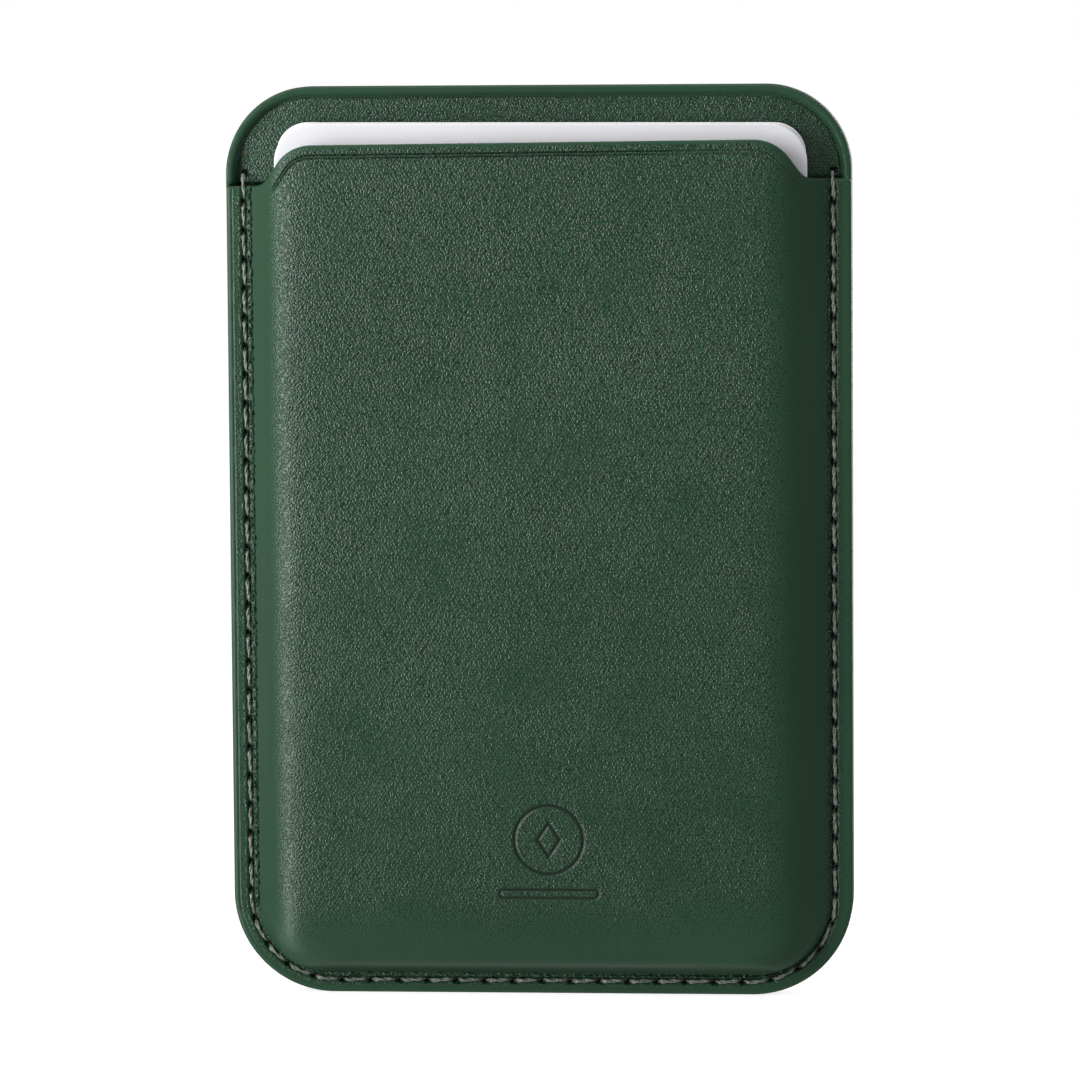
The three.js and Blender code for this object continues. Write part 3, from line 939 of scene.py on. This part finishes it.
def card_edge_material(name):
    """The card's cut edge, with its core and laminates as faint lines."""
    nodes = Nodes(name)
    layers = nodes.noise(1.0, 1.0, nodes.stretched((60, 5200, 60)))
    scratches = nodes.noise(2600)
    return nodes.finish(
        Base_Color=nodes.tones(layers, rgb(0.66, 0.66, 0.68), rgb(0.86, 0.86, 0.87), 0.1),
        Roughness=nodes.vary(scratches, 0.4, 0.6),
        Normal=nodes.bump(scratches, 0.00001),
    )


def board_material(name):
    """Dyed fibre board."""
    nodes = Nodes(name)
    fibres = nodes.noise(2400, 4.0, nodes.stretched((1.0, 3.0, 1.0)), roughness=0.65)
    return nodes.finish(
        Base_Color=nodes.tones(fibres, rgb(0.012, 0.028, 0.017), rgb(0.03, 0.055, 0.036)),
        Roughness=nodes.vary(fibres, 0.6, 0.85),
        Normal=nodes.bump(fibres, 0.00005),
        Specular_IOR_Level=0.3,
    )


def tray_material(name):
    """Moulded matt black plastic with a spark-eroded texture."""
    nodes = Nodes(name)
    spark = nodes.noise(4200, 3.0)
    return nodes.finish(
        Base_Color=nodes.tones(nodes.noise(90), rgb(0.012, 0.013, 0.013), rgb(0.022, 0.023, 0.023), 0.2),
        Roughness=nodes.vary(spark, 0.5, 0.68),
        Normal=nodes.bump(spark, 0.00002),
    )


def metal_material(name, low, high, grain, roughness):
    """Plated or rolled metal: drawn-out grain, faint stains, and roughness that follows both."""
    nodes = Nodes(name)
    lines = nodes.noise(1.0, 3.0, nodes.stretched(grain))
    stains = nodes.noise(220, 3.0)
    return nodes.finish(
        Base_Color=nodes.tones(stains, rgb(*low), rgb(*high), 0.2),
        Metallic=1.0,
        Roughness=nodes.spread(nodes.plus(lines, stains), 0.7, 1.3, roughness - 0.08, roughness + 0.1),
        Normal=nodes.bump(lines, 0.000006),
    )


FRONT_LEATHER = leather_material("front_leather")
INNER_LEATHER = leather_material("inner_leather", shade=0.97, grain_scale=1.06, relief=0.000085)
BACK_LEATHER = leather_material("back_leather", shade=0.85, grain_scale=0.8, relief=0.00005, roughness=0.55)
PAINTED_EDGE = edge_material("painted_edge", layers=3300)
SUEDE = suede_material("suede_backing", (0.024, 0.045, 0.03))
LINING_CLOTH = suede_material("lining_cloth", (0.03, 0.05, 0.037))
THREAD = thread_material("seam_thread")
CARD_FACE = card_material("card_face")
CARD_EDGE = card_edge_material("card_edge")
BOARD = board_material("leather_board")
TRAY = tray_material("tray_plastic")
NICKEL = metal_material("magnet_nickel", (0.52, 0.51, 0.48), (0.66, 0.65, 0.62), (1500, 1500, 400), 0.3)
STEEL = metal_material("shield_steel", (0.36, 0.37, 0.38), (0.48, 0.49, 0.50), (5200, 5200, 160), 0.38)


# ---- pieces --------------------

def below_mouth(points, margin):
    return points[mouth_drop(*points.T) > margin]


def inside_outline(points, margin):
    return points[outline_inset(*points.T) > margin]


def clear_of_slot(points, margin):
    return points[slot_distance(*points.T) > margin]


def inside_seam(points):
    """The points that lie further in than the seam's rows of puckers."""
    return points[seam_place(*points.T)[1] > 1.0]


def mouth_offset(distance, spacing):
    """The mouth's edge moved down into the panel."""
    points = mouth_edge(spacing)
    heading = np.gradient(points, axis=0)
    heading /= np.linalg.norm(heading, axis=1)[:, None]
    normal = np.stack([heading[:, 1], -heading[:, 0]], 1)
    return points + normal * distance


def front_loop():
    """The front panel's outline: round the holder's edge and across along the mouth."""
    rim = below_mouth(outline_loop(0, 0.4), 0.12)
    start = int(np.argmax(np.linalg.norm(np.diff(rim, axis=0), axis=1)))
    rim = np.roll(rim, -(start + 1), axis=0)
    edge = MOUTH[(np.abs(MOUTH[:, 0]) < HALF_WIDTH - 0.06)]
    left, right = ([x, np.interp(x, *MOUTH.T)] for x in (-HALF_WIDTH, HALF_WIDTH))
    return np.concatenate([rim, [right], edge[::-1], [left]])


def seam_rows(offsets, spacing):
    """Points on lines beside the seam, at each offset inwards from it, and a little past its ends."""
    past = 0.9
    along = np.arange(-past, SEAM_LENGTH + past, spacing)
    rows = []
    for offset in offsets:
        point, normal = seam_point(np.clip(along, 0, SEAM_LENGTH))
        point = point + normal * offset
        point[:, 1] += np.maximum(-along, 0) + np.maximum(along - SEAM_LENGTH, 0)
        rows.append(point)
    return np.concatenate(rows)


def away_from_mark(points):
    gap = np.abs(points - (MARK_CENTRE[0], MARK_CENTRE[1] - 1.15))
    return points[(gap[:, 0] >= 5.9) | (gap[:, 1] >= 5.5)]


def front_points():
    """Inner points of the front panel: close at its edge, seam, creases and mark, wide elsewhere."""
    edge = rings(outline_loop, EDGE_STEPS, 0.4)
    lip = np.concatenate([mouth_offset(step, 0.3) for step in (0.02, 0.06, 0.11, 0.16, 0.22)])
    rim = rings(outline_loop, np.arange(0.42, 1.1, 0.06), 0.42)
    seam = inside_outline(seam_rows(np.arange(-0.6, 0.98, 0.063), 0.125), 1.1)
    crease = inside_seam(np.concatenate([mouth_offset(step, 0.3) for step in np.arange(0.3, 1.7, 0.055)]))
    crease = crease[pocket_inset(*crease.T) > 2.5]
    mark = grid(np.array(MARK_CENTRE) - (5.6, 6.4), np.array(MARK_CENTRE) + (5.6, 4.1), 0.11)
    wall_insets = np.concatenate([np.arange(2.5, 7.6, 0.19), np.arange(7.9, 12, 0.5)])
    wall = inside_seam(inside_outline(rings(pocket_loop, wall_insets, 0.45), 0.9))
    field = whole_grid(0.7)
    field = away_from_mark(field[pocket_inset(*field.T) > 12])
    parts = [
        below_mouth(edge, 0.24), inside_outline(lip, 0.01), below_mouth(np.concatenate([rim, seam]), 0.24),
        below_mouth(crease, 0.25), mark, below_mouth(np.concatenate([rim, wall, field]), 1.75),
    ]
    return thin_out(np.concatenate(parts), 0.045)


def coarse_points(low_inset, spacing):
    """Plain inner points for a surface with nothing on it."""
    points = np.concatenate([
        rings(pocket_loop, np.arange(low_inset, 8, 0.3), 0.9),
        whole_grid(spacing),
    ])
    return inside_outline(points, 0.6)


def make_front_panel():
    back = below_mouth(thin_out(coarse_points(FOOT_INSET, 2.2), 0.4), 0.3)
    piece = shell(
        "front_leather_panel", [front_loop()], front_points(), back,
        front_height, front_back_height, [FRONT_LEATHER, SUEDE, PAINTED_EDGE], front_values,
    )
    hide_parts("front_panel")
    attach(piece, "holder")


def slot_loop(grow, spacing):
    """The thumb slot's outline, grown outwards."""
    radius = SLOT_RADIUS + grow
    reach = SLOT_HALF - SLOT_RADIUS
    return np.concatenate([
        arc(reach, SLOT_Y, radius, -QUARTER, QUARTER, spacing),
        line((reach, SLOT_Y + radius), (-reach, SLOT_Y + radius), spacing),
        arc(-reach, SLOT_Y, radius, QUARTER, 3 * QUARTER, spacing),
        line((-reach, SLOT_Y - radius), (reach, SLOT_Y - radius), spacing),
    ])


def slotted_sheet(name, points, height, plain_height, leather, values):
    """A leather sheet over the whole outline, with the thumb slot in it; its other side is flat."""
    plain = clear_of_slot(inside_outline(whole_grid(4), 1), 1)
    loops = [outline_loop(0, 0.4), slot_loop(0, 0.4)]
    materials = [leather, SUEDE, PAINTED_EDGE]
    return shell(name, loops, points, plain, height, level(plain_height), materials, values)


def make_inner_panel():
    shown = NOTCH_Y - 1.5
    rim = rings(outline_loop, EDGE_STEPS + np.arange(0.45, 1.9, 0.08).tolist(), 0.35)
    rim = rim[rim[:, 1] > shown]
    outer = rings(outline_loop, [0.3, 0.9], 0.8)
    outer = outer[outer[:, 1] <= shown]
    ends = seam_rows(np.arange(-0.4, 0.45, 0.08), 0.09)
    ends = ends[ends[:, 1] > SEAM_TOP - 0.7]
    field = clear_of_slot(inside_outline(whole_grid(1.2), 1.95), 0.6)
    lip = rings(slot_loop, [0.05, 0.15, 0.3], 0.5)
    corner = grid((HALF_WIDTH - 6, NOTCH_Y - 1), (HALF_WIDTH - 0.35, NOTCH_Y + 1.4), 0.13)
    front = thin_out(np.concatenate([rim, outer, ends, lip, corner, corner * (-1, 1), field]), 0.05)
    piece = slotted_sheet(
        "inner_leather_panel", front, inner_height, INNER_LOW[2], INNER_LEATHER, inner_values
    )
    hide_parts("inner_panel")
    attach(piece, "holder")


def make_back_cover():
    edge = rings(outline_loop, EDGE_STEPS, 0.4)
    seam = seam_rows(np.arange(-0.62, 0.66, 0.09), 0.14)
    lip = rings(slot_loop, [0.02, 0.05, 0.1, 0.17, 0.25, 0.35, 0.5], 0.4)
    print_steps = np.array([-0.4, -0.2, 0, 0.2, 0.4])
    angles = np.arange(0, 2 * math.pi, 0.012)
    prints = np.concatenate([
        np.stack([radius * np.cos(angles), radius * np.sin(angles)], 1)
        for centre in PRINT_RADII for radius in centre + print_steps
    ])
    half, tall = PRINT_BAR_HALF
    bar = np.concatenate([
        rounded_loop(half + grow, PRINT_BAR_Y - tall - grow, PRINT_BAR_Y + tall + grow, 0.5, 0.5, 0.4)
        for grow in print_steps
    ])
    field = clear_of_slot(inside_outline(whole_grid(1.0), 0.5), 0.7)
    outer = thin_out(np.concatenate([edge, seam, lip, prints, bar, field]), 0.05)
    piece = slotted_sheet("back_skin_cover", outer, back_height, COVER_HIGH[2], BACK_LEATHER, back_values)
    # The fine side lies at the back here, so every face is turned over
    piece.data.flip_normals()
    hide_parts("back_cover")
    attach(piece, "holder")


def make_board():
    """The board frame between the leathers, a hair inside their edge."""
    none = np.zeros((0, 2))
    piece = shell(
        "leather_board_frame", [outline_loop(0.06, 0.5), outline_loop(3.1, 0.8)], none, none,
        level(BOARD_HIGH[2]), level(BOARD_LOW[2]), [BOARD, BOARD, PAINTED_EDGE],
    )
    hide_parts("border_filler")
    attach(piece, "holder")


def make_lining():
    """The fabric sheet bonded inside the front panel."""
    inset = HALF_WIDTH - LINING_HIGH[0]
    side = below_mouth(pocket_loop(inset, 0.7), LEATHER)
    edge = mouth_offset(LEATHER, 0.5)
    edge = edge[np.abs(edge[:, 0]) < HALF_WIDTH - inset - 0.05]
    loop = np.concatenate([side, edge[::-1]])
    field = whole_grid(1.5)
    field = field[inside_loops(field, [loop])]
    thickness = LINING_HIGH[2] - LINING_LOW[2]
    piece = shell(
        "lining_sheet", [loop], field, field,
        lambda x, y: front_back_height(x, y) - 0.02,
        lambda x, y: front_back_height(x, y) - thickness + 0.015 * ripple(x, y, 6, 11),
        [LINING_CLOTH, LINING_CLOTH, LINING_CLOTH],
    )
    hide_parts("pocket_lining")
    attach(piece, "holder")


# ---- seam --------------------

STITCH_STEPS = 28
PLY_SIDES = 9
PLY_RADIUS = 0.12
PLY_OFFSET = 0.08
TWIST = 2.2
STITCH_SLACK = 0.02
STITCH_LEAN = (0.1, 0.22)


def stitch_path(first, last, surface, dip, arch):
    """
    Points of one stitch between two holes: (length along the seam, height, thickness).
    It stands up at its head and sinks more slowly, and thinner, at its tail.
    """
    share = np.linspace(0, 1, STITCH_STEPS)
    along = first + (last - first) * share
    sunk = 1 - smooth(along - first, 0.12, 0.62) * smooth(last - along, 0.1, 0.85)
    height = surface - dip * sunk + arch * np.cos(math.pi * share)
    return along, height, 1.08 - 0.26 * share


def ply_rings(centres, across, radius):
    """Rings of points round a path; across is the sideways direction at each of its points."""
    heading = np.gradient(centres, axis=0)
    heading /= np.linalg.norm(heading, axis=1)[:, None]
    up = np.cross(heading, across)
    up /= np.linalg.norm(up, axis=1)[:, None]
    side = np.cross(up, heading)
    angles = 2 * math.pi * np.arange(PLY_SIDES) / PLY_SIDES
    ring = side[:, None] * np.cos(angles)[None, :, None] + up[:, None] * np.sin(angles)[None, :, None]
    return centres[:, None] + ring * np.asarray(radius)[:, None, None]


def make_seam(name, node, surface, dip, arch, side):
    """
    A row of stitches, each of two plies twisted together, that dive into a hole at both ends.
    side is 1 for the front of the holder and -1 for the back.
    """
    vertices, faces = [], []
    count = 0
    for stitch in range(STITCHES):
        slack = random.uniform(-STITCH_SLACK, STITCH_SLACK)
        lean = random.uniform(*STITCH_LEAN)
        ends = (stitch * PITCH, (stitch + 1) * PITCH)
        along, height, thick = stitch_path(*ends, surface, dip * side, arch * side)
        point, normal = seam_point(along)
        middle = (along - along[0]) / PITCH - 0.5
        point = point + normal * (lean * middle + slack)[:, None]
        base = np.stack([*point.T, height], 1)
        across = np.stack([*normal.T, np.zeros(len(along))], 1)
        start = random.uniform(0, 2 * math.pi)
        for ply in range(2):
            turn = start + ply * math.pi + 2 * math.pi * (along - along[0]) / TWIST
            lift = np.array([0, 0, 1.0])
            swing = across * np.cos(turn)[:, None] + lift * np.sin(turn)[:, None]
            centre = base + PLY_OFFSET * thick[:, None] * swing
            rows = ply_rings(centre, across, PLY_RADIUS * thick)
            flat = rows.reshape(-1, 3)
            vertices.append(place(flat[:, :2], flat[:, 2]))
            for row in range(STITCH_STEPS - 1):
                for step in range(PLY_SIDES):
                    near, far = count + row * PLY_SIDES, count + (row + 1) * PLY_SIDES
                    nxt = (step + 1) % PLY_SIDES
                    faces.append((near + step, far + step, far + nxt, near + nxt))
            faces.append(tuple(count + step for step in range(PLY_SIDES)))
            end = count + (STITCH_STEPS - 1) * PLY_SIDES
            faces.append(tuple(end + step for step in reversed(range(PLY_SIDES))))
            count += len(flat)
    piece = make_object(name, np.concatenate(vertices), faces, None, [THREAD], sharp=70)
    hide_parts(node)
    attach(piece, "holder")


# ---- cards --------------------

CARD_LEAN = math.radians(0.29)
CARD_SHIFT = 0.15
FRONT_CARD_CORNER = 3.9
REAR_CARD_CORNER = 3.18
REAR_CARD_TRIM = 0.15
CARD_CLEARANCE = 0.015


def make_card(name, node, card_corner, trim):
    """A plain plastic card with a fine worn bevel, leaning a little in the pocket."""
    low, high = bench_box(node)
    half = (high[0] - low[0]) / 2 - trim
    centre = (high[0] + low[0]) / 2

    def card_loop(inset, spacing):
        corner = card_corner - inset
        loop = rounded_loop(half - inset, low[1] + inset, high[1] - inset, corner, corner, spacing)
        return loop + (centre, 0)

    def fall(x, y):
        edge = rounded_inset(x - centre, y, half, low[1], high[1], card_corner, card_corner)
        return rounding(edge, 0.1) - 0.012 * ripple(x, y, 40, 21) * smooth(edge, 0, 4)

    inner = np.concatenate([
        rings(card_loop, [0.01, 0.03, 0.06, 0.1, 0.3], 0.4), grid(low[:2] + 1, high[:2] - 1, 3),
    ])
    piece = shell(
        name, [card_loop(0, 0.4)], inner, inner, lambda x, y: high[2] - CARD_CLEARANCE - fall(x, y),
        lambda x, y: low[2] + CARD_CLEARANCE + fall(x, y), [CARD_FACE, CARD_FACE, CARD_EDGE],
    )
    middle = Matrix.Translation((0, 0, (low[1] + high[1]) / 2 * MM))
    lean = Matrix.Rotation(CARD_LEAN, 4, "Y")
    piece.data.transform(Matrix.Translation((CARD_SHIFT * MM, 0, 0)) @ middle @ lean @ middle.inverted())
    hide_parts(node)
    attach(piece, node)


# ---- the rest of the CAD, and building it all --------------------

def dress(node, material):
    node.data.materials.clear()
    node.data.materials.append(material)


def dress_cad_nodes():
    """Gives the CAD nodes that stay as they are their materials."""
    for name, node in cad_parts.items():
        if name.startswith("ring_magnet") or name == "alignment_magnet":
            dress(node, NICKEL)
        elif name == "magnet_tray":
            dress(node, TRAY)
        elif name == "shield_plate":
            dress(node, STEEL)


make_front_panel()
make_inner_panel()
make_back_cover()
make_board()
make_lining()
make_seam("front_seam", "top_thread", FLANGE, dip=0.75, arch=0.1, side=1)
make_seam("back_seam", "bobbin_thread", BOBBIN_CENTRE, dip=0.3, arch=0.0, side=-1)
make_card("front_card", "card_front", FRONT_CARD_CORNER, 0)
make_card("rear_card", "card_rear", REAR_CARD_CORNER, REAR_CARD_TRIM)
dress_cad_nodes()


# ---- stage, light and camera --------------------

FLOOR_RADIUS = 0.6
FLOOR_FADE = (0.10, 0.42)

# How bright the room is to either side, in front and behind, and above and below
ROOM_GLOW = (0.56, 0.14, 1.00)

# The camera, with its lens and sensor in millimetres
LENS = 196.6
SENSOR = 36.0
CAMERA_DISTANCE = 0.6
CAMERA_AZIMUTH = math.radians(5.0)
CAMERA_ELEVATION = math.radians(5.2)
CAMERA_ROLL = math.radians(0.41)
CAMERA_TARGET = Vector((0, -0.003, -0.01464))
HOLDER_MIDDLE = (0, 0, -0.015)


def make_floor():
    """A pale round floor that fades out into the white around it."""
    low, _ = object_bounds()
    bpy.ops.mesh.primitive_circle_add(
        vertices=96, radius=FLOOR_RADIUS, fill_type="NGON", location=(0, 0, low[2])
    )
    floor = bpy.context.object
    floor.name = "floor"
    nodes = Nodes("pale_floor")
    radius = nodes.add("ShaderNodeVectorMath", {0: nodes.where}, operation="LENGTH").outputs["Value"]
    fade = nodes.spread(radius, *FLOOR_FADE)
    nodes.finish(Base_Color=rgb(0.35, 0.35, 0.35), Roughness=0.9, Specular_IOR_Level=0.1,
                 Emission_Color=WHITE, Emission_Strength=0.82)
    clear = nodes.add("ShaderNodeBsdfTransparent").outputs[0]
    mix = nodes.add("ShaderNodeMixShader", {0: fade, 1: nodes.shader.outputs[0], 2: clear})
    nodes.put(nodes.tree.nodes["Material Output"].inputs["Surface"], mix.outputs[0])
    floor.data.materials.append(nodes.material)
    floor.visible_diffuse = False
    floor.visible_glossy = False


def make_world():
    """White to the camera; to everything else a room dim in front and brighter at the sides."""
    world = bpy.data.worlds.new("studio")
    bpy.context.scene.world = world
    world.use_nodes = True
    world.node_tree.nodes.clear()
    tree = Tree(world.node_tree)
    where = tree.add("ShaderNodeTexCoord").outputs["Generated"]
    squares = tree.add("ShaderNodeVectorMath", {0: where, 1: where}, operation="MULTIPLY").outputs["Vector"]
    glow = tree.add("ShaderNodeVectorMath", {0: squares, 1: ROOM_GLOW}, operation="DOT_PRODUCT")
    room = tree.add("ShaderNodeBackground", {"Color": WHITE, "Strength": glow.outputs["Value"]})
    white = tree.add("ShaderNodeBackground", {"Color": WHITE, "Strength": 1.0})
    seen = tree.add("ShaderNodeLightPath").outputs["Is Camera Ray"]
    mix = tree.add("ShaderNodeMixShader", {0: seen, 1: room.outputs[0], 2: white.outputs[0]})
    tree.add("ShaderNodeOutputWorld", {"Surface": mix.outputs[0]})


def make_light(name, position, target, width, height, power):
    """A soft panel light."""
    data = bpy.data.lights.new(name, "AREA")
    data.shape = "RECTANGLE"
    data.size = width
    data.size_y = height
    data.energy = power
    light = add_object(name, data)
    light.location = position
    aim = Vector(target) - Vector(position)
    light.rotation_euler = aim.to_track_quat("-Z", "Y").to_euler()


def make_camera():
    """A long lens in front of the holder, a little above its middle and to its right."""
    level_reach = math.cos(CAMERA_ELEVATION)
    away = Vector((
        math.sin(CAMERA_AZIMUTH) * level_reach, -math.cos(CAMERA_AZIMUTH) * level_reach,
        math.sin(CAMERA_ELEVATION),
    ))
    data = bpy.data.cameras.new("camera")
    data.lens = LENS
    data.sensor_width = SENSOR
    data.clip_start = 0.05
    data.clip_end = 20
    camera = add_object("camera", data)
    camera.location = CAMERA_TARGET + away * CAMERA_DISTANCE
    turn = (-away).to_track_quat("-Z", "Y").to_matrix() @ Matrix.Rotation(-CAMERA_ROLL, 3, "Z")
    camera.rotation_euler = turn.to_euler()
    bpy.context.scene.camera = camera


make_floor()
make_world()
make_light("key", (-0.42, -0.262, -0.02), HOLDER_MIDDLE, width=0.25, height=0.66, power=4.75)
make_light("top", (0.0, 0.0, 0.6), (0, 0, -0.06), width=0.5, height=0.5, power=0.85)
make_light("back", (0.3, 0.5, 0.15), HOLDER_MIDDLE, width=0.5, height=0.5, power=3.0)
make_camera()
bpy.context.scene.view_settings.view_transform = "Standard"
